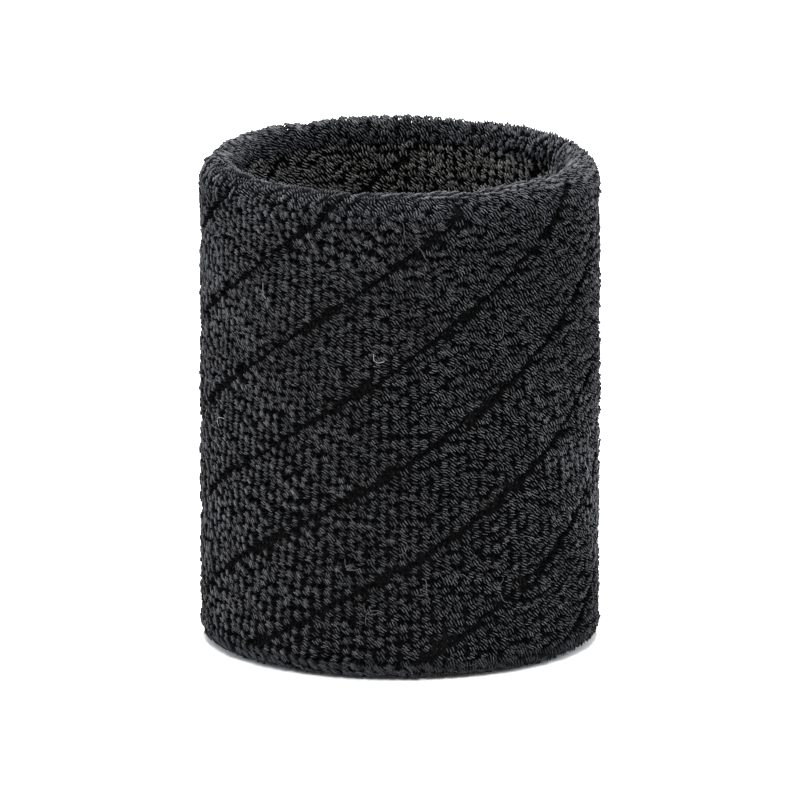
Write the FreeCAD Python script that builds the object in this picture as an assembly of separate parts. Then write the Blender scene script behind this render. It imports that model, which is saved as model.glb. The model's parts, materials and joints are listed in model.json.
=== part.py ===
import FreeCAD, Part
import math
import os

from FreeCAD import Vector

# A sports wristband: one tube of ribbed terry knit folded double, so that it has
# a pile of loops outside and inside. Millimetres, +Z up, origin on the axis in
# the plane that the band stands on. Angle 0 faces -Y, and grows towards +X.

# The whole band
BAND_HEIGHT = 80.0
OUTER_RADIUS = 32.6  # to the tops of the outer loops
OPENING_RADIUS = 26.4  # to the tops of the inner loops

# The layers of its wall
OUTER_PILE = 1.9
INNER_PILE = 1.7
KNIT_THICKNESS = 0.8

# Its two folded edges
TOP_SHOULDER = 4.4  # how far the outer face rolls in before the top edge
BOTTOM_SHOULDER = 3.2
REST_LAND = 0.8  # width of the pile pressed flat under the band
TOP_FOLD_RISE = 4.4  # height of the rolled part above the straight wall
BOTTOM_FOLD_RISE = 3.3
FOLD_PILE = 2.0  # loops on the crest of the knit, at both folds

# The ribs of loops and the bare channels between them, which climb like a thread
RIBS = 8
CHANNEL_WIDTH = 2.0
CHANNEL_LEAD = 133.6  # climb of a channel in one turn
FIRST_CHANNEL = 1.8  # height of channel 0 at angle 0
FAN = 0.0047  # the knit draws together at the top front, per mm above half height

# The closing seam, round the inside
SEAM_HEIGHT = 40.0
SEAM_CHANNEL = 3.0
SEAM_SLIT = 0.5
STITCHES = 64
STITCH_LENGTH = 2.4
STITCH_THICKNESS = 0.36
STITCH_SLANT = 35.0

# The covered elastic yarn, laid in between the two layers
YARN_THICKNESS = 0.45
YARN_SIDES = 8
YARN_PITCH = 4.5
YARN_END_ROOM = 1.0
THREAD_CLEARANCE = 0.02  # between a yarn or stitch and the knit that it lies on

# How finely the channels are followed, and how far their cutters reach
FAN_ROUNDS = 30
WALL_STEP = 3.0
FOLD_STEPS = 16
CUTTER_REACH = 5.0
CUTTER_SINK = 0.4
CUTTER_OVERRUN = 1.0

# Radii and heights worked out from these
OUTER_KNIT = OUTER_RADIUS - OUTER_PILE
INNER_KNIT = OPENING_RADIUS + INNER_PILE
KNIT_MIDDLE = (OUTER_KNIT + INNER_KNIT) / 2
WALL_TOP = BAND_HEIGHT - TOP_FOLD_RISE
WALL_BOTTOM = BOTTOM_FOLD_RISE
RISE_PER_RADIAN = CHANNEL_LEAD / (2 * math.pi)
CHANNEL_SPACING = CHANNEL_LEAD / RIBS
CHANNEL_SPAN = CHANNEL_WIDTH * math.hypot(1, OUTER_KNIT / RISE_PER_RADIAN)
FOLD_HALF_WIDTH = (OUTER_KNIT - INNER_KNIT) / 2
SEAM_LOW = SEAM_HEIGHT - SEAM_CHANNEL / 2
SEAM_HIGH = SEAM_HEIGHT + SEAM_CHANNEL / 2
AXIS = Vector(0, 0, 1)


def at(radius, height):
    """A point of a cross-section, in the plane that is turned about the axis."""
    return Vector(radius, 0, height)


def line(start, end):
    return Part.LineSegment(start, end).toShape()


def quarter(start, corner, end):
    """A quarter of an ellipse from start to end, inside their corner."""
    curve = Part.BezierCurve()
    curve.setPoles([start, corner, end])
    curve.setWeight(2, math.sqrt(0.5))
    return curve.toShape()


def turned(edges):
    """The ring whose cross-section these edges enclose."""
    section = Part.Face(Part.Wire(edges))
    return section.revolve(Vector(0, 0, 0), AXIS, 360)


def tube(inner, outer, low, high):
    """A plain ring between two radii and two heights."""
    a, b, c, d = at(inner, low), at(outer, low), at(outer, high), at(inner, high)
    return turned([line(a, b), line(b, c), line(c, d), line(d, a)])


def knit_face(depth, low_end, high_end):
    """One face of the folded knit, from its lower raw end to its upper one."""
    inner = INNER_KNIT + depth
    outer = OUTER_KNIT - depth
    top = BAND_HEIGHT - FOLD_PILE - depth
    bottom = FOLD_PILE + depth
    points = [
        at(inner, low_end),
        at(inner, WALL_BOTTOM),
        at(inner, bottom),
        at(KNIT_MIDDLE, bottom),
        at(outer, bottom),
        at(outer, WALL_BOTTOM),
        at(outer, WALL_TOP),
        at(outer, top),
        at(KNIT_MIDDLE, top),
        at(inner, top),
        at(inner, WALL_TOP),
        at(inner, high_end),
    ]
    return [
        line(points[0], points[1]),
        quarter(points[1], points[2], points[3]),
        quarter(points[3], points[4], points[5]),
        line(points[5], points[6]),
        quarter(points[6], points[7], points[8]),
        quarter(points[8], points[9], points[10]),
        line(points[10], points[11]),
    ]


def ground_knit():
    """The knitted tube itself, folded double, with its raw ends at the seam."""
    low_end = SEAM_HEIGHT - SEAM_SLIT / 2
    high_end = SEAM_HEIGHT + SEAM_SLIT / 2
    hidden_side = knit_face(KNIT_THICKNESS, low_end, high_end)
    pile_side = knit_face(0, low_end, high_end)
    inner, hidden = INNER_KNIT, INNER_KNIT + KNIT_THICKNESS
    lower_raw_edge = line(at(inner, low_end), at(hidden, low_end))
    upper_raw_edge = line(at(hidden, high_end), at(inner, high_end))
    return turned([lower_raw_edge] + hidden_side + [upper_raw_edge] + pile_side[::-1])


def fold_ring(wall_end, edge, outside_crest, inside_crest, knit_crest):
    """The ring of loops between a folded edge of the band and the knit under it."""
    rim = quarter(at(OUTER_RADIUS, wall_end), at(OUTER_RADIUS, edge), at(outside_crest, edge))
    land = [] if outside_crest == inside_crest else [line(at(outside_crest, edge), at(inside_crest, edge))]
    lip = quarter(at(inside_crest, edge), at(OPENING_RADIUS, edge), at(OPENING_RADIUS, wall_end))
    inner_end = line(at(OPENING_RADIUS, wall_end), at(INNER_KNIT, wall_end))
    rising = quarter(at(INNER_KNIT, wall_end), at(INNER_KNIT, knit_crest), at(KNIT_MIDDLE, knit_crest))
    falling = quarter(at(KNIT_MIDDLE, knit_crest), at(OUTER_KNIT, knit_crest), at(OUTER_KNIT, wall_end))
    outer_end = line(at(OUTER_KNIT, wall_end), at(OUTER_RADIUS, wall_end))
    return turned([rim] + land + [lip, inner_end, rising, falling, outer_end])


def top_fold():
    """The ring of loops that rolls over the top edge."""
    crest = OUTER_RADIUS - TOP_SHOULDER
    return fold_ring(WALL_TOP, BAND_HEIGHT, crest, crest, BAND_HEIGHT - FOLD_PILE)


def bottom_fold():
    """The ring of loops under the band, with the narrow land that it rests on."""
    outside = OUTER_RADIUS - BOTTOM_SHOULDER
    return fold_ring(WALL_BOTTOM, 0, outside, outside - REST_LAND, FOLD_PILE)


def fold_length(rise):
    """The length of the knit over a fold, half way round an ellipse."""
    a, b = FOLD_HALF_WIDTH, rise - FOLD_PILE
    return math.pi * math.sqrt((a * a + b * b) / 2)


# Distances along the knit at which its inner wall begins, past either fold
INNER_WALL_START = WALL_TOP + fold_length(TOP_FOLD_RISE)
INNER_WALL_END = WALL_BOTTOM - fold_length(BOTTOM_FOLD_RISE)


def channel_angle(number, along, height):
    """The angle of a channel where it is this far along the knit, at this height."""
    even = (along - FIRST_CHANNEL - CHANNEL_SPACING * number) / RISE_PER_RADIAN
    angle = even
    for _ in range(FAN_ROUNDS):
        angle = even - FAN * (height - BAND_HEIGHT / 2) * math.sin(angle)
    return angle


def cutter_section(angle, radius, height, tilt):
    """A slot's outline: level with the knit's face, standing out along its normal."""
    out = Vector(math.sin(angle), -math.cos(angle), 0)
    side = Vector(math.cos(angle), math.sin(angle), 0) * (CHANNEL_SPAN / 2)
    normal = out * math.cos(tilt) + AXIS * math.sin(tilt)
    foot = out * radius + AXIS * height - normal * CUTTER_SINK
    tip = foot + normal * CUTTER_REACH
    return Part.makePolygon([foot - side, foot + side, tip + side, tip - side, foot - side])


def wall_cutter(number, radius, tilt, along, low, high):
    """The channel on a straight wall between two heights, with an overrun at both."""
    low, high = low - CUTTER_OVERRUN, high + CUTTER_OVERRUN
    count = math.ceil((high - low) / WALL_STEP)
    sections = []
    for i in range(count + 1):
        height = low + (high - low) * i / count
        angle = channel_angle(number, along(height), height)
        sections.append(cutter_section(angle, radius, height, tilt))
    return Part.makeLoft(sections, True, False)


def along_outer_wall(height):
    """How far along the knit a height on the outer wall is."""
    return height


def along_above_seam(height):
    """How far along the knit a height on the inner wall is, over the top."""
    return INNER_WALL_START + WALL_TOP - height


def along_below_seam(height):
    """How far along the knit a height on the inner wall is, round the bottom."""
    return INNER_WALL_END + WALL_BOTTOM - height


def outer_cutter(number):
    return wall_cutter(number, OUTER_KNIT, 0, along_outer_wall, WALL_BOTTOM, WALL_TOP)


def upper_inner_cutter(number):
    return wall_cutter(number, INNER_KNIT, math.pi, along_above_seam, SEAM_HIGH, WALL_TOP)


def lower_inner_cutter(number):
    return wall_cutter(number, INNER_KNIT, math.pi, along_below_seam, WALL_BOTTOM, SEAM_LOW)


def fold_cutter(number, start, length, centre, rise):
    """The channel round a fold, from the outer wall; rise and length are negative below."""
    way = math.copysign(1, rise)
    depth = rise - way * FOLD_PILE
    sections = []
    for i in range(-1, FOLD_STEPS + 2):
        share = min(max(i / FOLD_STEPS, 0), 1)
        overrun = CUTTER_OVERRUN * (i > FOLD_STEPS) - CUTTER_OVERRUN * (i < 0)
        turn = math.pi * share
        radius = KNIT_MIDDLE + FOLD_HALF_WIDTH * math.cos(turn)
        height = centre + depth * math.sin(turn) - way * abs(overrun)
        angle = channel_angle(number, start + length * share + way * overrun, height)
        sections.append(cutter_section(angle, radius, height, way * turn))
    return Part.makeLoft(sections, True, False)


def top_fold_cutter(number):
    return fold_cutter(number, WALL_TOP, fold_length(TOP_FOLD_RISE), WALL_TOP, TOP_FOLD_RISE)


def bottom_fold_cutter(number):
    length = -fold_length(BOTTOM_FOLD_RISE)
    return fold_cutter(number, WALL_BOTTOM, length, WALL_BOTTOM, -BOTTOM_FOLD_RISE)


def cut_into_ribs(ring, cutter, radius, along, height):
    """The ring's ribs after the channels are cut, each after its lower channel."""
    solids = ring.cut([cutter(number) for number in range(RIBS)]).Solids
    ribs = []
    for number in range(RIBS):
        angle = channel_angle(number + 0.5, along, height)
        inside = Vector(radius * math.sin(angle), -radius * math.cos(angle), height)
        ribs += [solid for solid in solids if solid.isInside(inside, 1e-6, True)]
    return ribs


def elastic_yarn(low, high, radius):
    """The turns of a covered elastic yarn, laid in row after row, each as a closed ring."""
    count = int((high - low - 2 * YARN_END_ROOM) / YARN_PITCH) + 1
    first = (low + high - YARN_PITCH * (count - 1)) / 2
    half = YARN_THICKNESS / 2
    rings = []
    for number in range(count):
        height = first + YARN_PITCH * number
        corners = []
        for side in range(YARN_SIDES + 1):
            turn = 2 * math.pi * side / YARN_SIDES
            corners.append(at(radius + half * math.cos(turn), height + half * math.sin(turn)))
        rings.append(turned(Part.makePolygon(corners).Edges))
    return rings


def seam_stitch(number):
    """One slanting stitch across the slit, round-ended, on the face of the knit."""
    radius = STITCH_THICKNESS / 2
    half = STITCH_LENGTH / 2 - radius
    ends = [Part.makeSphere(radius, Vector(0, 0, side * half)) for side in (-1, 1)]
    shank = Part.makeCylinder(radius, 2 * half, Vector(0, 0, -half))
    stitch = shank.fuse(ends).removeSplitter()
    stitch.rotate(Vector(0, 0, 0), Vector(1, 0, 0), STITCH_SLANT)
    stitch.translate(Vector(INNER_KNIT - radius - THREAD_CLEARANCE, 0, SEAM_HEIGHT))
    stitch.rotate(Vector(0, 0, 0), AXIS, 360 * number / STITCHES)
    return stitch


def write(name, solids):
    Part.makeCompound(solids).exportStep("parts/%s.step" % name)


def write_ribs(name, ribs):
    for number, rib in enumerate(ribs, 1):
        write("%s_%d" % (name, number), [rib])


def main():
    os.makedirs("parts", exist_ok=True)
    write("ground_knit", [ground_knit()])

    outer_middle = OUTER_RADIUS - OUTER_PILE / 2
    inner_middle = OPENING_RADIUS + INNER_PILE / 2
    half = BAND_HEIGHT / 2
    outer = tube(OUTER_KNIT, OUTER_RADIUS, WALL_BOTTOM, WALL_TOP)
    write_ribs("outer_terry_rib", cut_into_ribs(outer, outer_cutter, outer_middle, half, half))
    upper = tube(OPENING_RADIUS, INNER_KNIT, SEAM_HIGH, WALL_TOP)
    above = (SEAM_HIGH + WALL_TOP) / 2
    ribs = cut_into_ribs(upper, upper_inner_cutter, inner_middle, along_above_seam(above), above)
    write_ribs("upper_inner_terry_rib", ribs)
    lower = tube(OPENING_RADIUS, INNER_KNIT, WALL_BOTTOM, SEAM_LOW)
    below = (WALL_BOTTOM + SEAM_LOW) / 2
    ribs = cut_into_ribs(lower, lower_inner_cutter, inner_middle, along_below_seam(below), below)
    write_ribs("lower_inner_terry_rib", ribs)
    write("top_fold_terry", top_fold().cut([top_fold_cutter(n) for n in range(RIBS)]).Solids)
    write("bottom_fold_terry", bottom_fold().cut([bottom_fold_cutter(n) for n in range(RIBS)]).Solids)

    in_outer = OUTER_KNIT - KNIT_THICKNESS - YARN_THICKNESS / 2 - THREAD_CLEARANCE
    in_inner = INNER_KNIT + KNIT_THICKNESS + YARN_THICKNESS / 2 + THREAD_CLEARANCE
    write("outer_elastic_yarn", elastic_yarn(WALL_BOTTOM, WALL_TOP, in_outer))
    write("upper_inner_elastic_yarn", elastic_yarn(SEAM_HIGH, WALL_TOP, in_inner))
    write("lower_inner_elastic_yarn", elastic_yarn(WALL_BOTTOM, SEAM_LOW, in_inner))
    write("closing_seam_stitches", [seam_stitch(number) for number in range(STITCHES)])


main()
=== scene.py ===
import json
import math

import bpy
import numpy as np
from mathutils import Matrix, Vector


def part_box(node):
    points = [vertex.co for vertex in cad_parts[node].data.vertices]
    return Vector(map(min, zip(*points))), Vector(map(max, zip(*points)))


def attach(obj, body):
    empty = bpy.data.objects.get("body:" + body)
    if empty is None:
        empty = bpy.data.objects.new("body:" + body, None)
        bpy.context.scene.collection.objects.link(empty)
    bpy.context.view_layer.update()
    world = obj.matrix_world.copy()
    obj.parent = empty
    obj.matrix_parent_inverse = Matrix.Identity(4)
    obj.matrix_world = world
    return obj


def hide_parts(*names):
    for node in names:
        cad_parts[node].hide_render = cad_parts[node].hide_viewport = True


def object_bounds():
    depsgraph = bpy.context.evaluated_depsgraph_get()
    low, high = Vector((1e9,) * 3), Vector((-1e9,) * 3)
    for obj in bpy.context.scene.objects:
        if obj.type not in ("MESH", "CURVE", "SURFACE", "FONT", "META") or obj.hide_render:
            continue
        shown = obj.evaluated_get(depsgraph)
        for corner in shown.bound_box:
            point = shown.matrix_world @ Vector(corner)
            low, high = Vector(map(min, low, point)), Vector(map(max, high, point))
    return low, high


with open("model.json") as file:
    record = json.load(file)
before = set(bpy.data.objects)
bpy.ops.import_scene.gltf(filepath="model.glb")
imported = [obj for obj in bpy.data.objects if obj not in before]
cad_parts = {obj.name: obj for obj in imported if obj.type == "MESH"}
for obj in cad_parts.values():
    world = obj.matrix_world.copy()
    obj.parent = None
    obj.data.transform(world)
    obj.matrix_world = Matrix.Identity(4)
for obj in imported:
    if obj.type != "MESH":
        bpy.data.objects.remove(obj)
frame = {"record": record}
cad_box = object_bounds()

# A sweat wristband: a tube of ribbed terry knit folded double. Its ground knit is one
# closed cloth, and every loop of its pile is a small bundle of plies that stands on
# that cloth. Angle 0 faces -Y and grows towards +X. Metres throughout.
MM = 0.001

# Sizes that the frame gives
BAND_HEIGHT = cad_box[1].z - cad_box[0].z
OUTER_RADIUS = (cad_box[1].x - cad_box[0].x) / 2
KNIT_LOW, KNIT_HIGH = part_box("ground_knit")
OUTER_KNIT = (KNIT_HIGH.x - KNIT_LOW.x) / 2
WALL_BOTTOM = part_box("outer_terry_rib_1")[0].z
WALL_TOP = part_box("outer_terry_rib_1")[1].z
SEAM_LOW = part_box("lower_inner_terry_rib_1")[1].z
SEAM_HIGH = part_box("upper_inner_terry_rib_1")[0].z
SEAM_HEIGHT = (SEAM_LOW + SEAM_HIGH) / 2
MOUNTS = {mount["name"]: mount for mount in frame["record"]["mounts"]}
OPENING_RADIUS = MOUNTS["wrist_opening"]["dims"]["r_mm"] * MM

# Sizes of the cloth that the frame's boxes don't tell
KNIT_THICKNESS = 0.8 * MM
INNER_PILE = 1.7 * MM
SEAM_SLIT = 0.5 * MM  # between the cloth's raw ends
SEAM_STITCHES = 64
STITCH_LENGTH = 2.4 * MM
STITCH_THICKNESS = 0.36 * MM
STITCH_SLANT = math.radians(35)  # from upright
YARN_THICKNESS = 0.45 * MM
YARN_PITCH = 4.5 * MM
YARN_END_ROOM = 1.0 * MM
THREAD_CLEARANCE = 0.02 * MM
TOP_CREST = 28.2 * MM  # the radius at which the top fold is highest
BOTTOM_LAND = (29.4 * MM, 28.6 * MM)  # the radii between which the bottom fold lies flat
RIBS = 8
CHANNEL_WIDTH = 2.0 * MM
CHANNEL_LEAD = 133.6 * MM  # how far a channel climbs in one turn round the band
FIRST_CHANNEL = 1.8 * MM  # how high it starts at angle 0
FAN = 0.0047 / MM  # how fast the wales draw towards the front on their way up
FAN_ROUNDS = 30  # rounds in which a fanned angle settles

# The knit's own grid: loops round the band, from one course to the next, and round the folds
WALES = 128
COURSE = 1.13 * MM
TOP_FOLD_ROWS = 12
BOTTOM_FOLD_ROWS = 12

# Where the random draws of each kind of piece start
SEAT_SEED = 3
SEAM_SEAT_SEED = 5
WANDER_SEED = 7
DRIFT_SEED = 57
FIBRE_SEED = 41
PILE_SEED = 100
BARE_STITCH_SEED = 300
SEAM_STITCH_SEED = 320
STRAY_SEED = 340

INNER_KNIT = OPENING_RADIUS + INNER_PILE
KNIT_MIDDLE = (OUTER_KNIT + INNER_KNIT) / 2
FOLD_HALF_WIDTH = (OUTER_KNIT - INNER_KNIT) / 2
TOP_KNIT_RISE = KNIT_HIGH.z - WALL_TOP
BOTTOM_KNIT_RISE = WALL_BOTTOM - KNIT_LOW.z
RISE_PER_RADIAN = CHANNEL_LEAD / (2 * math.pi)
CHANNEL_SPACING = CHANNEL_LEAD / RIBS
CHANNEL_SPAN = CHANNEL_WIDTH * math.hypot(1, OUTER_KNIT / RISE_PER_RADIAN)


def fold_length(rise):
    """The length of the knit over a fold, half way round an ellipse."""
    return math.pi * math.sqrt((FOLD_HALF_WIDTH ** 2 + rise ** 2) / 2)


TOP_FOLD_LENGTH = fold_length(TOP_KNIT_RISE)
BOTTOM_FOLD_LENGTH = fold_length(BOTTOM_KNIT_RISE)
INNER_WALL_START = WALL_TOP + TOP_FOLD_LENGTH
INNER_WALL_END = WALL_BOTTOM - BOTTOM_FOLD_LENGTH


# ---------------------------------------------------------------- camera, floor, light

VIEW_ELEVATION = math.radians(13.36)
VIEW_DISTANCE = 90 * OUTER_RADIUS
VIEW_WIDTH = 129.4 * MM
VIEW_DROP = 1.03 * MM
FILM_WIDTH = 36  # mm
FARTHEST_VIEW = 20

WORLD_STRENGTH = 0.8
FLOOR_HALF_WIDTH = 6.0
FLOOR_GAP = 0.05 * MM
FLOOR_COLOUR = (0.9, 0.9, 0.9, 1)
FLOOR_ROUGHNESS = 0.9

# Each soft box: its name, place, width, power and colour
SOFT_BOXES = (
    ("key softbox", (-0.12, -1.0, 1.2), 0.5, 21, (1.0, 1.0, 1.0)),
    ("top softbox", (0.0, 0.0, 1.1), 0.5, 30, (1.0, 0.99, 0.96)),
    ("left softbox", (-1.0, -0.1, 0.45), 0.6, 4, (0.9, 0.95, 1.0)),
    ("right softbox", (1.0, -0.1, 0.45), 0.6, 8, (0.9, 0.95, 1.0)),
)


def placed(name, data):
    """A new object of the scene that shows this data."""
    made = bpy.data.objects.new(name, data)
    bpy.context.scene.collection.objects.link(made)
    return made


def add_camera():
    """A long lens a little above the band, with the band a touch above the middle."""
    camera = placed("camera", bpy.data.cameras.new("camera"))
    back = Vector((0, -math.cos(VIEW_ELEVATION), math.sin(VIEW_ELEVATION)))
    up = Vector((0, math.sin(VIEW_ELEVATION), math.cos(VIEW_ELEVATION)))
    aim = Vector((0, 0, BAND_HEIGHT / 2)) - up * VIEW_DROP
    camera.location = aim + back * VIEW_DISTANCE
    camera.rotation_euler = (-back).to_track_quat("-Z", "Y").to_euler()
    camera.data.sensor_width = FILM_WIDTH
    camera.data.lens = FILM_WIDTH * VIEW_DISTANCE / VIEW_WIDTH
    camera.data.clip_end = FARTHEST_VIEW
    bpy.context.scene.camera = camera


def add_area_light(name, place, size, power, colour):
    """A soft box that faces the middle of the band."""
    light = bpy.data.lights.new(name, "AREA")
    light.shape = "SQUARE"
    light.size = size
    light.energy = power
    light.color = colour
    lamp = placed(name, light)
    lamp.location = place
    aim = Vector((0, 0, BAND_HEIGHT / 2)) - lamp.location
    lamp.rotation_euler = aim.to_track_quat("-Z", "Y").to_euler()


def add_studio():
    """A plain pale floor in even white light, with soft boxes in front, above, left and right."""
    world = bpy.data.worlds.new("studio")
    bpy.context.scene.world = world
    world.use_nodes = True
    sky = world.node_tree.nodes["Background"]
    sky.inputs["Color"].default_value = (1, 1, 1, 1)
    sky.inputs["Strength"].default_value = WORLD_STRENGTH
    bpy.context.scene.view_settings.view_transform = "Standard"

    half = FLOOR_HALF_WIDTH
    corners = [(-half, -half, 0), (half, -half, 0), (half, half, 0), (-half, half, 0)]
    mesh = bpy.data.meshes.new("floor")
    mesh.from_pydata(corners, [], [(0, 1, 2, 3)])
    floor = placed("floor", mesh)
    floor.location.z = cad_box[0].z - FLOOR_GAP
    paint = bpy.data.materials.new("pale floor")
    paint.use_nodes = True
    shader = paint.node_tree.nodes["Principled BSDF"]
    shader.inputs["Base Color"].default_value = FLOOR_COLOUR
    shader.inputs["Roughness"].default_value = FLOOR_ROUGHNESS
    mesh.materials.append(paint)

    for name, place, size, power, colour in SOFT_BOXES:
        add_area_light(name, place, size, power, colour)


# ---------------------------------------------------------------- node tools

def add(tree, kind, inputs=None, **settings):
    """A node with its settings, and its inputs set to values or joined to sockets."""
    node = tree.nodes.new(kind)
    for name, value in settings.items():
        setattr(node, name, value)
    for name, value in (inputs or {}).items():
        if isinstance(value, bpy.types.NodeSocket):
            tree.links.new(value, node.inputs[name])
        else:
            node.inputs[name].default_value = value
    return node


def sums(tree, operation, *values):
    """A Math node's result."""
    return add(tree, "ShaderNodeMath", dict(enumerate(values)), operation=operation).outputs[0]


def new_tree(name, kind, inputs, outputs):
    """A node group with named inputs and outputs, given as (name, kind, default)."""
    tree = bpy.data.node_groups.new(name, kind)
    for label, socket, default in inputs:
        made = tree.interface.new_socket(name=label, in_out="INPUT", socket_type="NodeSocket" + socket)
        if default is not None:
            made.default_value = default
    for label, socket in outputs:
        tree.interface.new_socket(name=label, in_out="OUTPUT", socket_type="NodeSocket" + socket)
    return tree, tree.nodes.new("NodeGroupInput").outputs, tree.nodes.new("NodeGroupOutput").inputs


# ---------------------------------------------------------------- materials

# How steeply the yarn darkens from the tips of the loops to their roots: painted shade, deep in the pile.
# Each zone has its own steepness, as lit and shaded copies of one yarn
OUTSIDE_SHADE = 16.0
FOLD_SHADE = 13.0
INSIDE_SHADE = 9.0

# The cotton's own unevenness
DYE_PATCHES = 180.0  # per metre
DYE_SPREAD = 0.5
FIBRE_SPREAD = 0.9
LEAST_TONE = 0.15
LEAST_ROUGHNESS = 0.62
ROUGHNESS_SPREAD = 0.25
FUZZ_STRENGTH = 0.7
YARN_SPECULAR = 0.03
SHEEN_ROUGHNESS = 0.45
WHITE = (1.0, 1.0, 1.0)


def build_spun_cotton():
    """The shader group that every cotton yarn of the band uses."""
    tree, given, put = new_tree(
        "Spun cotton",
        "ShaderNodeTree",
        [
            ("Root colour", "Color", (0.004, 0.004, 0.005, 1)),
            ("Tip colour", "Color", (0.05, 0.05, 0.055, 1)),
            ("Rise", "Float", 1.0),
            ("Root shade", "Float", OUTSIDE_SHADE),
            ("Tone", "Float", 0.5),
            ("Tone spread", "Float", 0.6),
            ("Fibres per metre", "Float", 6000.0),
            ("Fuzz height", "Float", 0.00003),
            ("Relief", "Float", 0.0),
        ],
        [("Colour", "Color"), ("Roughness", "Float"), ("Normal", "Vector")],
    )
    place = add(tree, "ShaderNodeTexCoord").outputs["Object"]
    noise = {"Vector": place, "Scale": given["Fibres per metre"], "Detail": 2.0, "Roughness": 0.6}
    fibres = add(tree, "ShaderNodeTexNoise", noise).outputs["Fac"]
    patches = {"Vector": place, "Scale": DYE_PATCHES, "Detail": 2.0}
    dye = add(tree, "ShaderNodeTexNoise", patches).outputs["Fac"]
    # Painted shade and highlight: the colour runs from the dark root colour to the lit tip colour by the
    # rise to the power of the root shade
    climb = sums(tree, "POWER", given["Rise"], given["Root shade"])
    blend = add(tree, "ShaderNodeMix", data_type="RGBA")
    tree.links.new(climb, blend.inputs[0])
    tree.links.new(given["Root colour"], blend.inputs[6])
    tree.links.new(given["Tip colour"], blend.inputs[7])
    loop_tone = sums(tree, "MULTIPLY", sums(tree, "SUBTRACT", given["Tone"], 0.5), given["Tone spread"])
    dye_tone = sums(tree, "MULTIPLY", sums(tree, "SUBTRACT", dye, 0.5), DYE_SPREAD)
    fibre_tone = sums(tree, "MULTIPLY", sums(tree, "SUBTRACT", fibres, 0.5), FIBRE_SPREAD)
    strength = sums(tree, "ADD", sums(tree, "ADD", sums(tree, "ADD", 1.0, loop_tone), dye_tone), fibre_tone)
    shade = add(tree, "ShaderNodeVectorMath", operation="SCALE")
    tree.links.new(blend.outputs[2], shade.inputs[0])
    tree.links.new(sums(tree, "MAXIMUM", strength, LEAST_TONE), shade.inputs["Scale"])
    tree.links.new(shade.outputs[0], put["Colour"])
    roughness = sums(tree, "MULTIPLY_ADD", fibres, ROUGHNESS_SPREAD, LEAST_ROUGHNESS)
    tree.links.new(roughness, put["Roughness"])
    height = sums(tree, "MULTIPLY_ADD", fibres, given["Fuzz height"], given["Relief"])
    bump = add(tree, "ShaderNodeBump", {"Strength": FUZZ_STRENGTH, "Height": height, "Distance": 1.0})
    tree.links.new(bump.outputs[0], put["Normal"])
    return tree


def yarn_material(
    name, cotton, root, tip, sheen=0.0, tint=WHITE, spread=0.6, rise=None, shade=OUTSIDE_SHADE
):
    """A material of spun yarn; rise is given where the piece isn't pile and has one shade all over."""
    material = bpy.data.materials.new(name)
    material.use_nodes = True
    tree = material.node_tree
    shader = tree.nodes["Principled BSDF"]
    group = add(tree, "ShaderNodeGroup", node_tree=cotton)
    group.inputs["Root colour"].default_value = (*root, 1)
    group.inputs["Tip colour"].default_value = (*tip, 1)
    group.inputs["Tone spread"].default_value = spread
    group.inputs["Root shade"].default_value = shade
    # Pile-like pieces read their rise, so their colour carries painted shade at the roots and painted
    # highlight at the tips; a given rise gives one colour all over
    if rise is None:
        height = add(tree, "ShaderNodeAttribute", attribute_name="rise").outputs["Fac"]
        tree.links.new(height, group.inputs["Rise"])
        tone = add(tree, "ShaderNodeAttribute", attribute_name="tone").outputs["Fac"]
        tree.links.new(tone, group.inputs["Tone"])
    else:
        group.inputs["Rise"].default_value = rise
    tree.links.new(group.outputs["Colour"], shader.inputs["Base Color"])
    tree.links.new(group.outputs["Roughness"], shader.inputs["Roughness"])
    tree.links.new(group.outputs["Normal"], shader.inputs["Normal"])
    shader.inputs["Specular IOR Level"].default_value = YARN_SPECULAR
    shader.inputs["Sheen Weight"].default_value = sheen
    shader.inputs["Sheen Roughness"].default_value = SHEEN_ROUGHNESS
    shader.inputs["Sheen Tint"].default_value = (*tint, 1)
    return material


# ---------------------------------------------------------------- the knit's layout

def angle_of(knit_angle, height):
    """The angle on the band of a wale, which leans a little towards the front at the top."""
    angle = np.array(knit_angle, float)
    for _ in range(FAN_ROUNDS):
        angle = knit_angle - FAN * (height - BAND_HEIGHT / 2) * np.sin(angle)
    return angle


class Row:
    """One course of the knit: its place in the cross-section, and where its loops reach."""

    def __init__(self, zone, along, base, tip, way, to_fold, side):
        self.zone = zone
        self.along = along
        self.base = base
        self.tip = tip
        self.way = way
        self.to_fold = to_fold
        self.side = side


def wall_rows(zone, low, high, radius, tip_radius, along, way):
    """The courses of a straight wall, between two heights."""
    count = round((high - low) / COURSE)
    rows = []
    for i in range(count):
        height = low + (high - low) * (i + 0.5) / count
        base, tip = (radius, height), (tip_radius, height)
        rows.append(Row(zone, along(height), base, tip, (0, way), WALL_TOP - height, way))
    return rows


def fold_rows(zone, count, start, length, wall_end, knit_rise, edge, crests):
    """The courses round a fold; the loops reach from the knit's ellipse to the pile's."""
    outer_crest, inner_crest = crests
    rows = []
    for i in range(count):
        turn = math.pi * (i + 0.5) / count
        side, climb = math.cos(turn), math.sin(turn)
        base = (KNIT_MIDDLE + FOLD_HALF_WIDTH * side, wall_end + knit_rise * climb)
        if side > 0:
            reach = outer_crest + (OUTER_RADIUS - outer_crest) * side
        else:
            reach = inner_crest + (inner_crest - OPENING_RADIUS) * side
        tip = (reach, wall_end + (edge - wall_end) * climb)
        way = np.array((-FOLD_HALF_WIDTH * climb, knit_rise * side)) * math.copysign(1, length)
        way = way / np.linalg.norm(way)
        along = start + length * turn / math.pi
        rows.append(Row(zone, along, base, tip, tuple(way), 0, side))
    return rows


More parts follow.
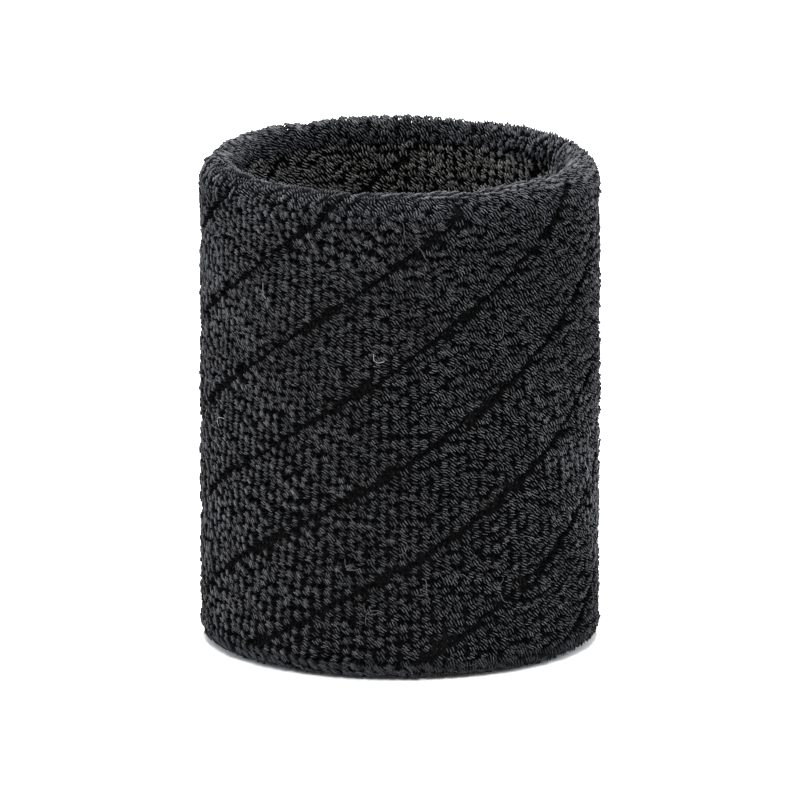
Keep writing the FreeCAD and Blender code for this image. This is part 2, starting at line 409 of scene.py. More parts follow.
def all_rows():
    """Every course of the band, zone by zone."""
    rows = wall_rows("outer", WALL_BOTTOM, WALL_TOP, OUTER_KNIT, OUTER_RADIUS, lambda z: z, 1)
    rows += fold_rows(
        "top_fold", TOP_FOLD_ROWS, WALL_TOP, TOP_FOLD_LENGTH, WALL_TOP,
        TOP_KNIT_RISE, BAND_HEIGHT, (TOP_CREST, TOP_CREST),
    )
    rows += wall_rows(
        "upper_inner", SEAM_HIGH, WALL_TOP, INNER_KNIT, OPENING_RADIUS,
        lambda z: INNER_WALL_START + WALL_TOP - z, -1,
    )
    rows += wall_rows(
        "lower_inner", WALL_BOTTOM, SEAM_LOW, INNER_KNIT, OPENING_RADIUS,
        lambda z: INNER_WALL_END + WALL_BOTTOM - z, -1,
    )
    rows += fold_rows(
        "bottom_fold", BOTTOM_FOLD_ROWS, WALL_BOTTOM, -BOTTOM_FOLD_LENGTH, WALL_BOTTOM,
        -BOTTOM_KNIT_RISE, 0, BOTTOM_LAND,
    )
    return rows


FIELD_WAVES = 6
MOST_TURNS = 6
WAVE_RANGE = (0.3, 1.2)
FIELD_SHARE = 3  # the waves' sum is divided by this


def soft_field(angle, along, seed, scale):
    """A smooth wandering value over the cloth, mostly between -1 and 1."""
    draw = np.random.default_rng(seed)
    total = np.zeros(np.shape(angle))
    for _ in range(FIELD_WAVES):
        turns = draw.integers(1, MOST_TURNS + 1)
        wave = draw.uniform(*WAVE_RANGE) / scale
        total = total + np.sin(turns * angle + wave * along + draw.uniform(0, 2 * math.pi))
    return total / FIELD_SHARE


PLACE_JITTER = (0.1 * MM, 0.17 * MM)  # across the columns and along them
EDGE_ROOM = 0.58  # this share of a channel's half width is clear of loops
INNER_EDGE_ROOM = 0.3  # and less of it inside, where the cloth is squeezed round a smaller circle


def seats(rows, seed, jitter=PLACE_JITTER):
    """Every loop's seat as arrays: its zone, rib, way from a channel, place and directions."""
    draw = np.random.default_rng(seed)
    found = []
    for row in rows:
        wale = (np.arange(WALES) + 0.5) * 2 * math.pi / WALES
        knit_angle = wale + draw.normal(0, 1, WALES) * jitter[0] / OUTER_KNIT
        along = row.along + draw.normal(0, 1, WALES) * jitter[1]
        angle = angle_of(knit_angle, row.base[1])
        number = (along - FIRST_CHANNEL - RISE_PER_RADIAN * knit_angle) / CHANNEL_SPACING
        from_channel = (number - np.round(number)) * CHANNEL_SPACING / RISE_PER_RADIAN * row.base[0]
        out2 = np.array(row.tip) - np.array(row.base)
        pile = np.linalg.norm(out2)
        out2 = out2 / pile
        shift = along - row.along
        radius = row.base[0] + row.way[0] * shift
        height = row.base[1] + row.way[1] * shift
        sine, cosine = np.sin(angle), np.cos(angle)
        place = np.stack([radius * sine, -radius * cosine, height], 1)
        out = np.stack([out2[0] * sine, -out2[0] * cosine, np.full(WALES, out2[1])], 1)
        across = np.stack([cosine, sine, np.zeros(WALES)], 1)
        found.append({
            "zone": np.full(WALES, row.zone),
            "rib": np.floor(number).astype(int) % RIBS + 1,
            "edge": from_channel / (CHANNEL_SPAN / 2),
            "place": place,
            "out": out,
            "across": across,
            "pile": np.full(WALES, pile),
            "angle": angle,
            "along": along,
            "to_fold": np.full(WALES, row.to_fold),
            "side": np.full(WALES, float(row.side)),
        })
    return {key: np.concatenate([f[key] for f in found]) for key in found[0]}


def chosen(all_seats, mask):
    """The seats that a mask picks out."""
    return {key: value[mask] for key, value in all_seats.items()}


def inside_walls(all_seats):
    """A mask of the seats on the two walls that face the wrist."""
    return (all_seats["zone"] == "upper_inner") | (all_seats["zone"] == "lower_inner")


def seat_object(name, chosen_seats, numbers):
    """A mesh of bare points, one for each seat, that carries their directions."""
    mesh = bpy.data.meshes.new(name)
    mesh.from_pydata(chosen_seats["place"].tolist(), [], [])
    for key in ("out", "across"):
        attribute = mesh.attributes.new(key, "FLOAT_VECTOR", "POINT")
        attribute.data.foreach_set("vector", chosen_seats[key].astype(np.float32).ravel())
    for key, values in numbers.items():
        attribute = mesh.attributes.new(key, "FLOAT", "POINT")
        attribute.data.foreach_set("value", np.asarray(values, np.float32))
    return placed(name, mesh)


# ---------------------------------------------------------------- geometry nodes

# Each ply of a loop as a unit arch: foot, two handles and other foot, as (across, beside, up)
OPEN_LOOP = [
    [(-0.28, -1.2, -0.15), (-1.02, -1.7, 1.16), (0.80, -1.5, 1.20), (0.30, -1.1, -0.15)],
    [(-0.34, -0.4, -0.15), (-0.78, -0.7, 1.30), (1.04, -0.4, 1.16), (0.36, -0.4, -0.15)],
    [(-0.26, 0.5, -0.15), (-0.98, 0.4, 1.24), (0.76, 0.7, 1.30), (0.26, 0.5, -0.15)],
    [(-0.32, 1.2, -0.15), (-0.72, 1.6, 1.12), (1.00, 1.8, 1.22), (0.34, 1.2, -0.15)],
]
FANNED_LOOP = [
    [(-0.24, -0.9, -0.15), (-0.84, -2.1, 1.26), (0.98, -1.1, 1.12), (0.34, -0.7, -0.15)],
    [(-0.34, -0.2, -0.15), (-1.06, -0.6, 1.18), (0.74, -0.1, 1.32), (0.30, -0.2, -0.15)],
    [(-0.28, 0.5, -0.15), (-0.74, 0.5, 1.32), (1.02, 0.9, 1.20), (0.32, 0.5, -0.15)],
    [(-0.34, 1.1, -0.15), (-1.00, 1.4, 1.10), (0.70, 2.2, 1.24), (0.26, 1.0, -0.15)],
]
TWISTED_LOOP = [
    [(-0.32, -1.1, -0.15), (-0.98, -2.2, 1.24), (0.80, -1.0, 1.18), (0.30, -0.4, -0.15)],
    [(-0.26, -0.3, -0.15), (-0.76, -1.0, 1.16), (1.04, 0.2, 1.30), (0.34, 0.1, -0.15)],
    [(-0.30, 0.5, -0.15), (-0.96, -0.1, 1.30), (0.78, 1.1, 1.14), (0.28, 0.6, -0.15)],
    [(-0.26, 1.1, -0.15), (-0.80, 0.9, 1.14), (0.98, 2.1, 1.26), (0.34, 1.2, -0.15)],
]
SLIM_LOOP = [
    [(-0.32, -0.9, -0.15), (-1.04, -1.3, 1.26), (0.72, -1.0, 1.18), (0.24, -0.9, -0.15)],
    [(-0.24, 0.0, -0.15), (-0.74, -0.1, 1.18), (1.02, 0.1, 1.28), (0.34, 0.0, -0.15)],
    [(-0.28, 0.9, -0.15), (-0.94, 1.1, 1.28), (0.78, 1.3, 1.20), (0.30, 0.9, -0.15)],
]
PAIRED_LOOP = [
    [(-0.32, -0.5, -0.15), (-1.00, -0.8, 1.26), (0.78, -0.5, 1.20), (0.28, -0.5, -0.15)],
    [(-0.26, 0.6, -0.15), (-0.76, 0.4, 1.16), (1.04, 0.8, 1.28), (0.34, 0.6, -0.15)],
]
OUTSIDE_LOOPS = (OPEN_LOOP, FANNED_LOOP, TWISTED_LOOP, SLIM_LOOP)
INSIDE_LOOPS = (SLIM_LOOP, TWISTED_LOOP, SLIM_LOOP, FANNED_LOOP)
LOW_INSIDE_LOOPS = (PAIRED_LOOP, SLIM_LOOP, PAIRED_LOOP)

# The two legs of one stitch of the bare knit, in the same way
KNIT_STITCH = [
    [(-0.04, -0.62, 0.0), (-0.10, -0.20, 1.30), (-0.46, 0.10, 1.30), (-0.34, 0.62, 0.0)],
    [(0.04, -0.62, 0.0), (0.10, -0.20, 1.30), (0.46, 0.10, 1.30), (0.34, 0.62, 0.0)],
]
# One slanting stitch of the closing seam: two plies of thread, side by side
SEAM_STITCH = [
    [(-0.36, -0.08, -0.6), (-0.30, -0.08, 1.2), (0.30, -0.08, 1.2), (0.36, -0.08, -0.6)],
    [(-0.36, 0.08, -0.6), (-0.30, 0.08, 1.2), (0.30, 0.08, 1.2), (0.36, 0.08, -0.6)],
]
# Stray fibres that lie on the pile
STRAY_FIBRES = (
    [[(-0.5, 0.0, 0.0), (-0.3, 0.25, 0.5), (0.1, -0.3, 0.4), (0.5, 0.05, 0.1)]],
    [[(-0.4, -0.1, 0.1), (0.0, 0.45, 0.4), (0.2, 0.4, 0.6), (0.4, -0.2, 0.0)]],
    [[(-0.3, 0.1, 0.0), (-0.2, -0.2, 0.6), (0.2, -0.1, 0.5), (0.3, 0.2, 0.0)]],
)
CROWN = 0.88  # how high the middle of a unit arch rises
LOW_CROWN = 0.75  # and where it has only three steps
LOW_STEPS = 3
MOST_LEAN = math.radians(58)
PLY_SIDES = 3
ARCH_POINTS = 12  # a ply's smooth arch, before it is cut to its steps


def position(tree):
    """The three coordinates of each point, as sockets."""
    point = add(tree, "GeometryNodeInputPosition").outputs[0]
    return add(tree, "ShaderNodeSeparateXYZ", {0: point}).outputs


def painted(tree, geometry, material):
    """The same geometry, shaded smooth and in this material."""
    smooth = add(tree, "GeometryNodeSetShadeSmooth", {0: geometry}).outputs[0]
    coat = {"Geometry": smooth, "Material": material}
    return add(tree, "GeometryNodeSetMaterial", coat).outputs[0]


def ply_bundle(tree, plies, size, radius, steps):
    """Plies as tubes with a ridge on top, that know how high up each point of them is."""
    join = add(tree, "GeometryNodeJoinGeometry")
    for start, rising, falling, end in plies:
        ply = add(
            tree,
            "GeometryNodeCurvePrimitiveBezierSegment",
            {
                "Resolution": ARCH_POINTS,
                "Start": start,
                "Start Handle": rising,
                "End Handle": falling,
                "End": end,
            },
            mode="POSITION",
        )
        tree.links.new(ply.outputs[0], join.inputs[0])
    even = add(tree, "GeometryNodeResampleCurve", {"Curve": join.outputs[0], "Count": steps + 1})
    scaled = add(tree, "GeometryNodeTransform", {"Geometry": even.outputs[0], "Scale": size})
    upright = add(tree, "GeometryNodeSetCurveNormal", {0: scaled.outputs[0]}, mode="Z_UP")
    outline = add(tree, "GeometryNodeCurvePrimitiveCircle", {"Resolution": PLY_SIDES, "Radius": radius})
    # The profile's ridge points up, so that the rise, and the highlight painted by it, is highest along the
    # top of each ply
    ridge_up = add(
        tree,
        "GeometryNodeTransform",
        {"Geometry": outline.outputs[0], "Rotation": (0, 0, -math.pi / 2)},
    )
    tube = add(
        tree,
        "GeometryNodeCurveToMesh",
        {"Curve": upright.outputs[0], "Profile Curve": ridge_up.outputs[0], "Fill Caps": True},
    ).outputs[0]
    # rise: 0 at the feet, 1 at the crown; the yarn materials paint shade and highlight by it
    up = position(tree)[2]
    crown = sums(tree, "ADD", radius, (CROWN if steps > LOW_STEPS else LOW_CROWN) * MM)
    rise = add(tree, "ShaderNodeClamp", {"Value": sums(tree, "DIVIDE", up, crown)}).outputs[0]
    return add(
        tree,
        "GeometryNodeStoreNamedAttribute",
        {"Geometry": tube, "Name": "rise", "Value": rise},
        data_type="FLOAT",
        domain="POINT",
    ).outputs[0]


def random_value(tree, low, high, seed):
    """A random number for each seat."""
    node = add(tree, "FunctionNodeRandomValue", data_type="FLOAT")
    node.inputs[2].default_value = low
    node.inputs[3].default_value = high
    tree.links.new(seed, node.inputs["Seed"])
    return node.outputs[1]


def stored(tree, name, data_type="FLOAT"):
    """What each seat carries under this name."""
    return add(tree, "GeometryNodeInputNamedAttribute", {"Name": name}, data_type=data_type).outputs[0]


def build_pile_tree(name, loops, steps=5):
    """Stands one of these loops, picked at random, on every seat; a ply has so many steps."""
    tree, given, put = new_tree(
        name,
        "GeometryNodeTree",
        [
            ("Geometry", "Geometry", None),
            ("Loop width", "Float", 1.4 * MM),
            ("Ply gap", "Float", 0.45 * MM),
            ("Ply thickness", "Float", 0.25 * MM),
            ("Lean spread", "Float", 0.35),
            ("Turn spread", "Float", 0.4),
            ("Size spread", "Float", 0.08),
            ("Lowest height", "Float", 0.03 * MM),
            ("Seed", "Int", 0),
            ("Material", "Material", None),
        ],
        [("Geometry", "Geometry")],
    )
    size = add(tree, "ShaderNodeCombineXYZ", {0: given["Loop width"], 1: given["Ply gap"], 2: MM}).outputs[0]
    radius = sums(tree, "MULTIPLY", given["Ply thickness"], 0.5)
    kinds = add(tree, "GeometryNodeGeometryToInstance")
    for plies in loops:
        tree.links.new(ply_bundle(tree, plies, size, radius, steps), kinds.inputs[0])

    lean_seed, turn_seed, size_seed, kind_seed, tone_seed = (
        sums(tree, "ADD", given["Seed"], float(i)) for i in range(5)
    )
    lean = sums(
        tree, "ADD", stored(tree, "lean"),
        sums(tree, "MULTIPLY", random_value(tree, -1, 1, lean_seed), given["Lean spread"]),
    )
    lean = add(tree, "ShaderNodeClamp", {"Value": lean, "Min": -MOST_LEAN, "Max": MOST_LEAN}).outputs[0]
    turn = sums(
        tree, "ADD", stored(tree, "turn"),
        sums(tree, "MULTIPLY", random_value(tree, -1, 1, turn_seed), given["Turn spread"]),
    )
    stand = add(
        tree,
        "FunctionNodeAxesToRotation",
        {0: stored(tree, "out", "FLOAT_VECTOR"), 1: stored(tree, "across", "FLOAT_VECTOR")},
        primary_axis="Z",
        secondary_axis="X",
    ).outputs[0]
    bend = add(tree, "ShaderNodeCombineXYZ", {0: lean, 2: turn}).outputs[0]
    bend = add(tree, "FunctionNodeEulerToRotation", {0: bend}).outputs[0]
    turned = add(
        tree, "FunctionNodeRotateRotation", {0: stand, 1: bend}, rotation_space="LOCAL"
    ).outputs[0]
    spread = sums(tree, "MULTIPLY", random_value(tree, -1, 1, size_seed), given["Size spread"])
    grow = sums(tree, "ADD", 1.0, spread)
    height = sums(tree, "MULTIPLY", stored(tree, "height"), grow)
    tall = sums(tree, "DIVIDE", height, sums(tree, "COSINE", lean))
    scale = add(tree, "ShaderNodeCombineXYZ", {0: grow, 1: 1.0, 2: tall}).outputs[0]

    pick = add(tree, "FunctionNodeRandomValue", data_type="INT")
    pick.inputs[4].default_value = 0
    pick.inputs[5].default_value = len(loops) - 1
    tree.links.new(kind_seed, pick.inputs["Seed"])
    stood = add(
        tree,
        "GeometryNodeInstanceOnPoints",
        {
            "Points": given["Geometry"],
            "Instance": kinds.outputs[0],
            "Pick Instance": True,
            "Instance Index": pick.outputs[2],
            "Rotation": turned,
            "Scale": scale,
        },
    ).outputs[0]
    toned = add(
        tree,
        "GeometryNodeStoreNamedAttribute",
        {"Geometry": stood, "Name": "tone", "Value": random_value(tree, 0, 1, tone_seed)},
        data_type="FLOAT",
        domain="INSTANCE",
    ).outputs[0]
    real = add(tree, "GeometryNodeRealizeInstances", {0: toned}).outputs[0]
    at = position(tree)
    pressed = sums(tree, "MAXIMUM", at[2], given["Lowest height"])
    pressed = add(tree, "ShaderNodeCombineXYZ", {0: at[0], 1: at[1], 2: pressed}).outputs[0]
    rested = add(tree, "GeometryNodeSetPosition", {"Geometry": real, "Position": pressed}).outputs[0]
    tree.links.new(painted(tree, rested, given["Material"]), put["Geometry"])
    return tree


def grown(carrier, tree, settings):
    """The plain mesh object that a tree makes of its carrier, which is then removed."""
    modifier = carrier.modifiers.new("grow", "NODES")
    modifier.node_group = tree
    for item in tree.interface.items_tree:
        if item.item_type == "SOCKET" and item.in_out == "INPUT" and item.name in settings:
            modifier[item.identifier] = settings[item.name]
    graph = bpy.context.evaluated_depsgraph_get()
    mesh = bpy.data.meshes.new_from_object(carrier.evaluated_get(graph), depsgraph=graph)
    name = carrier.name
    carrier.modifiers.remove(modifier)
    bpy.data.objects.remove(carrier)
    mesh.name = name
    for spare in ("out", "across", "lean", "turn", "height"):
        if spare in mesh.attributes:
            mesh.attributes.remove(mesh.attributes[spare])
    return placed(name, mesh)


def settle(piece, slot, *nodes):
    """A finished piece rides on the band and stands for CAD nodes, which are hidden; the slot it is given is
    not used.
    """
    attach(piece, "root")
    if nodes:
        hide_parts(*nodes)
    return piece


# ---------------------------------------------------------------- the pile

PILE_TURN = math.radians(-45)
PILE_LEAN = math.radians(12)
HANGING_TURN = math.radians(-52)  # loops near a folded edge hang over it
HANGING_LEAN = math.radians(24)
HANGING_REACH = 5 * MM
TURN_WANDER = math.radians(13)  # how far the loops' turn strays, in patches of this size
TURN_PATCH = 4 * MM
LEAN_DRIFT = math.radians(10)  # and their lean
LEAN_PATCH = 7 * MM
PILE_HEIGHT = 0.89
EDGE_DROP = 0.28  # loops beside a channel stand this much lower
EDGE_FADE = 0.5
FLOOR_REACH = 1.2  # the coarser loops under the band are longer, and the floor presses them flat

# Painted shade and light: the loops' roots are painted nearly black as shade, their tips lit far above the
# black yarn's own colour; the outside, the folds and the inside are lit and shaded copies of one yarn, each
# with its own brightness and tint
SHADED_ROOT_COLOUR = (0.0015, 0.0015, 0.0016)
OUTSIDE_LIT_TIP_COLOUR = (0.46, 0.465, 0.5)
FOLD_LIT_TIP_COLOUR = (0.31, 0.315, 0.35)
INSIDE_LIT_TIP_COLOUR = (0.44, 0.438, 0.432)
COOL_SHEEN = (0.8, 0.88, 1.0)
WARM_SHEEN = (1.0, 0.97, 0.92)
PILE_TONE_SPREAD = 0.5


def pile_numbers(part):
    """How each loop of these seats is turned, leaned and sized."""
    wander = soft_field(part["angle"], part["along"], WANDER_SEED, TURN_PATCH)
    drift = soft_field(part["angle"], part["along"], DRIFT_SEED, LEAN_PATCH)
    hanging = np.exp(-np.maximum(part["to_fold"], 0) / HANGING_REACH)
    turn = PILE_TURN + (HANGING_TURN - PILE_TURN) * hanging + TURN_WANDER * wander
    lean = PILE_LEAN + (HANGING_LEAN - PILE_LEAN) * hanging + LEAN_DRIFT * drift
    lean = lean * part["side"]
    beside = np.exp(-np.maximum(np.abs(part["edge"]) - EDGE_ROOM, 0) / EDGE_FADE)
    height = part["pile"] / MM * PILE_HEIGHT
    height = height * np.where(part["zone"] == "bottom_fold", FLOOR_REACH, 1 - EDGE_DROP * beside)
    return {"turn": turn, "lean": lean, "height": height}


def pile_piece(name, part, tree, material, seed):
    """The loops of one rib or fold."""
    carrier = seat_object(name, part, pile_numbers(part))
    return grown(carrier, tree, {"Seed": seed, "Material": material})


def add_pile(all_seats, cotton):
    """The loops of every rib and both folds."""
    outside_tree = build_pile_tree("Outside terry pile", OUTSIDE_LOOPS)
    inside_tree = build_pile_tree("Inside terry pile", INSIDE_LOOPS)
    low_inside_tree = build_pile_tree("Low inside terry pile", LOW_INSIDE_LOOPS, LOW_STEPS)
    underside_tree = build_pile_tree("Underside terry pile", OUTSIDE_LOOPS, LOW_STEPS)
    # Three lit and shaded copies of one yarn, with painted shade down to the roots
    outside, folded, inside = (
        yarn_material(name, cotton, SHADED_ROOT_COLOUR, tip, sheen, tint, PILE_TONE_SPREAD, shade=shade)
        for name, tip, sheen, tint, shade in (
            ("terry loops outside", OUTSIDE_LIT_TIP_COLOUR, 0.02, COOL_SHEEN, OUTSIDE_SHADE),
            ("terry loops on the folds", FOLD_LIT_TIP_COLOUR, 0.03, COOL_SHEEN, FOLD_SHADE),
            ("terry loops inside", INSIDE_LIT_TIP_COLOUR, 0.03, WARM_SHEEN, INSIDE_SHADE),
        )
    )
    room = np.where(inside_walls(all_seats), INNER_EDGE_ROOM, EDGE_ROOM)
    standing = np.abs(all_seats["edge"]) > room
    walls = [
        ("outer", "outer_terry_rib_", outside_tree, outside),
        ("upper_inner", "upper_inner_terry_rib_", inside_tree, inside),
        ("lower_inner", "lower_inner_terry_rib_", low_inside_tree, inside),
    ]
    seed = PILE_SEED
    for zone, prefix, tree, material in walls:
        for rib in range(1, RIBS + 1):
            seed += 1
            part = chosen(all_seats, standing & (all_seats["zone"] == zone) & (all_seats["rib"] == rib))
            piece = pile_piece(zone + "_loops_%d" % rib, part, tree, material, seed)
            settle(piece, "terry_pile", prefix + str(rib))
    for zone in ("top_fold", "bottom_fold"):
        seed += 1
        open_share = np.maximum(all_seats["side"], 0) if zone == "top_fold" else 0
        closed = np.abs(all_seats["edge"]) >= EDGE_ROOM * open_share
        part = chosen(all_seats, closed & (all_seats["zone"] == zone))
        tree = outside_tree if zone == "top_fold" else underside_tree
        piece = pile_piece(zone + "_loops", part, tree, folded, seed)
        settle(piece, "terry_pile", zone + "_terry")


# ---------------------------------------------------------------- stitches, threads and lint

BARE_REACH = 1.1  # stitches are made this many half widths out from a channel's middle
INNER_BARE_REACH = 0.7
BARE_RELIEF = 0.32  # mm
BARE_THICKNESS = 0.3 * MM
BARE_STEPS = 4
# Painted shade: the bare stitches darken to their roots, and their tips stay far darker than the pile's, as
# shade down in the channels
BARE_ROOT, BARE_TIP = (0.002, 0.002, 0.002), (0.03, 0.03, 0.032)
SEAM_ROW_GAP = 0.85 * MM
SEAM_RELIEF = 0.3  # mm
THREAD_GAP = 3  # a seam stitch's unit width, in thicknesses of its thread
THREAD_PLY = 0.6  # one ply of the thread, as a share of its thickness
# Painted shade: the thread darkens from the tops of its stitches to their roots
THREAD_ROOT, THREAD_TIP = (0.006, 0.006, 0.006), (0.05, 0.05, 0.055)
YARN_COLOUR = (0.02, 0.02, 0.022)
PALE_FIBRES = 9
PALE_LENGTH = 2.2 * MM
PALE_COLOUR = (0.3, 0.3, 0.3)
DARK_FIBRES = 90
DARK_LENGTH = 3.0 * MM
DARK_COLOUR = (0.09, 0.09, 0.1)
FIBRE_THICKNESS = 0.07 * MM
FIBRE_SINK = 0.1 * MM
FIBRE_TURN = 0.3
FIBRE_RELIEF = 0.5  # mm


def steady(part, turn, height):
    """Numbers for pieces that all stand straight and alike."""
    count = len(part["angle"])
    return {"turn": np.full(count, turn), "lean": np.zeros(count), "height": np.full(count, height)}


def add_bare_stitches(all_seats, cotton):
    """The knit's own stitches, where a channel or the seam leaves them bare."""
    tree = build_pile_tree("Knit stitches", [KNIT_STITCH], BARE_STEPS)
    material = yarn_material("bare knit stitches", cotton, BARE_ROOT, BARE_TIP, spread=0.9)
    settings = {
        "Loop width": 2 * math.pi * OUTER_KNIT / WALES,
        "Ply gap": COURSE,
        "Ply thickness": BARE_THICKNESS,
        "Lean spread": 0.08,
        "Turn spread": 0.12,
        "Size spread": 0.08,
        "Material": material,
    }
    seam_rows = []
    for side in (-1, 1):
        height = SEAM_HEIGHT + side * SEAM_ROW_GAP
        base, tip = (INNER_KNIT, height), (OPENING_RADIUS, height)
        seam_rows.append(Row("seam", 0, base, tip, (0, -1), 0, -1))
    from_middle = np.abs(all_seats["edge"])
    outer = (all_seats["zone"] == "outer") & (from_middle < BARE_REACH)
    inner = inside_walls(all_seats) & (from_middle < INNER_BARE_REACH)
    groups = [
        ("outer_bare_stitches", chosen(all_seats, outer)),
        ("inner_bare_stitches", chosen(all_seats, inner)),
        ("seam_bare_stitches", seats(seam_rows, SEAM_SEAT_SEED, (0, 0))),
    ]
    pieces = []
    for number, (name, part) in enumerate(groups):
        carrier = seat_object(name, part, steady(part, 0, BARE_RELIEF))
        piece = grown(carrier, tree, settings | {"Seed": BARE_STITCH_SEED + number})
        pieces.append(settle(piece, "ground_knit"))
    return pieces


def add_closing_seam(cotton):
    """The slanting stitches of thread that close the band's raw ends against each other."""
    tree = build_pile_tree("Seam stitches", [SEAM_STITCH])
    material = yarn_material("seam thread", cotton, THREAD_ROOT, THREAD_TIP, sheen=0.1, spread=0.3)
    angle = (np.arange(SEAM_STITCHES) + 0.5) * 2 * math.pi / SEAM_STITCHES
    sine, cosine, level = np.sin(angle), np.cos(angle), np.zeros(SEAM_STITCHES)
    part = {
        "angle": angle,
        "place": np.stack([INNER_KNIT * sine, -INNER_KNIT * cosine, level + SEAM_HEIGHT], 1),
        "out": np.stack([-sine, cosine, level], 1),
        "across": np.stack([cosine, sine, level], 1),
    }
    carrier = seat_object("closing_seam_thread", part, steady(part, math.pi / 2 - STITCH_SLANT, SEAM_RELIEF))
    settings = {
        "Loop width": STITCH_LENGTH,
        "Ply gap": STITCH_THICKNESS * THREAD_GAP,
        "Ply thickness": STITCH_THICKNESS * THREAD_PLY,
        "Lean spread": 0.0,
        "Turn spread": 0.06,
        "Size spread": 0.05,
        "Seed": SEAM_STITCH_SEED,
        "Material": material,
    }
    piece = grown(carrier, tree, settings)
    return settle(piece, "seam_thread", "closing_seam_stitches")


COIL_STEPS = 64  # round one turn
YARN_SIDES = 8


def build_coil_tree():
    """A covered yarn that winds round and round, with the beads of its covering."""
    tree, given, put = new_tree(
        "Elastic yarn coil",
        "GeometryNodeTree",
        [
            ("Geometry", "Geometry", None),
            ("Coil radius", "Float", INNER_KNIT),
            ("Coil height", "Float", 50 * MM),
            ("Turns", "Float", 10.0),
            ("Lowest turn", "Float", 0.0),
            ("Yarn thickness", "Float", YARN_THICKNESS),
            ("Bead length", "Float", 1.7 * MM),
            ("Bead depth", "Float", 0.12),
            ("Material", "Material", None),
        ],
        [("Geometry", "Geometry")],
    )
    spiral = add(
        tree,
        "GeometryNodeCurveSpiral",
        {
            "Resolution": COIL_STEPS,
            "Rotations": given["Turns"],
            "Start Radius": given["Coil radius"],
            "End Radius": given["Coil radius"],
            "Height": given["Coil height"],
        },
    ).outputs[0]
    lift = add(tree, "ShaderNodeCombineXYZ", {2: given["Lowest turn"]}).outputs[0]
    raised = add(tree, "GeometryNodeTransform", {"Geometry": spiral, "Translation": lift}).outputs[0]
    run = add(tree, "GeometryNodeSplineParameter").outputs["Length"]
    phase = sums(tree, "DIVIDE", sums(tree, "MULTIPLY", run, 2 * math.pi), given["Bead length"])
    bead = sums(tree, "MULTIPLY", sums(tree, "SINE", phase), given["Bead depth"])
    swelling = sums(tree, "ADD", 1.0, sums(tree, "SUBTRACT", bead, given["Bead depth"]))
    beaded = add(tree, "GeometryNodeSetCurveRadius", {"Curve": raised, "Radius": swelling}).outputs[0]
    radius = sums(tree, "MULTIPLY", given["Yarn thickness"], 0.5)
    outline = add(tree, "GeometryNodeCurvePrimitiveCircle", {"Resolution": YARN_SIDES, "Radius": radius})
    tube = add(
        tree,
        "GeometryNodeCurveToMesh",
        {"Curve": beaded, "Profile Curve": outline.outputs[0], "Scale": swelling, "Fill Caps": True},
    ).outputs[0]
    real = add(tree, "GeometryNodeRealizeInstances", {0: tube}).outputs[0]
    tree.links.new(painted(tree, real, given["Material"]), put["Geometry"])
    return tree


def add_elastic_yarns(cotton):
    """The covered elastic that lies inside the fold, wound round each wall of the knit."""
    tree = build_coil_tree()
    material = yarn_material(
        "covered elastic", cotton, YARN_COLOUR, YARN_COLOUR, sheen=0.1, spread=0.3, rise=1.0
    )
    deep = KNIT_THICKNESS + YARN_THICKNESS / 2 + THREAD_CLEARANCE
    coils = [
        ("outer_elastic", WALL_BOTTOM, WALL_TOP, OUTER_KNIT - deep),
        ("upper_inner_elastic", SEAM_HIGH, WALL_TOP, INNER_KNIT + deep),
        ("lower_inner_elastic", WALL_BOTTOM, SEAM_LOW, INNER_KNIT + deep),
    ]
    for name, low, high, radius in coils:
        span = high - low - 2 * YARN_END_ROOM
        turns = math.floor(span / YARN_PITCH)
        rise = turns * YARN_PITCH
        carrier = placed(name + "_coil", bpy.data.meshes.new(name + "_coil"))
        settings = {
            "Coil radius": radius,
            "Coil height": rise,
            "Turns": float(turns),
            "Lowest turn": (low + high - rise) / 2,
            "Material": material,
        }
        settle(grown(carrier, tree, settings), "elastic_yarn", name + "_yarn")


def add_stray_fibres(all_seats, cotton):
    """A little lint and some loose fibres that lie on the pile."""
    tree = build_pile_tree("Stray fibres", STRAY_FIBRES)
    dark = yarn_material("loose dark fibre", cotton, DARK_COLOUR, DARK_COLOUR, spread=0.8, rise=1.0)
    pale = yarn_material("pale lint", cotton, PALE_COLOUR, PALE_COLOUR, spread=0.8, rise=1.0)
    draw = np.random.default_rng(FIBRE_SEED)
    outside = chosen(all_seats, all_seats["zone"] == "outer")
    for name, count, material, length in (
        ("loose_fibres", DARK_FIBRES, dark, DARK_LENGTH),
        ("pale_lint", PALE_FIBRES, pale, PALE_LENGTH),
    ):
        mask = np.zeros(len(outside["angle"]), bool)
        mask[draw.choice(len(mask), count, replace=False)] = True
        part = chosen(outside, mask)
        lift = part["pile"] * PILE_HEIGHT - FIBRE_SINK
        part["place"] = part["place"] + part["out"] * lift[:, None]
        carrier = seat_object(name, part, steady(part, FIBRE_TURN, FIBRE_RELIEF))
        settings = {
            "Loop width": length,
            "Ply gap": length,
            "Ply thickness": FIBRE_THICKNESS,
            "Turn spread": math.pi,
            "Size spread": 0.4,
            "Seed": STRAY_SEED,
            "Material": material,
        }
        settle(grown(carrier, tree, settings), "terry_pile")


# ---------------------------------------------------------------- the ground knit

AROUND = 128
FOLD_STEPS = 12
WALL_STEPS = 40
# Painted shade: the knit's black cotton is darkened far below the yarn's own colour, as the shade under the
# pile and in the channels; with its rise fixed at 1 only the tip colour shows
KNIT_ROOT, KNIT_TIP = (0.002, 0.002, 0.002), (0.0035, 0.0035, 0.0038)
KNIT_SLANT = 1.2
KNIT_RELIEF = KNIT_THICKNESS / 6


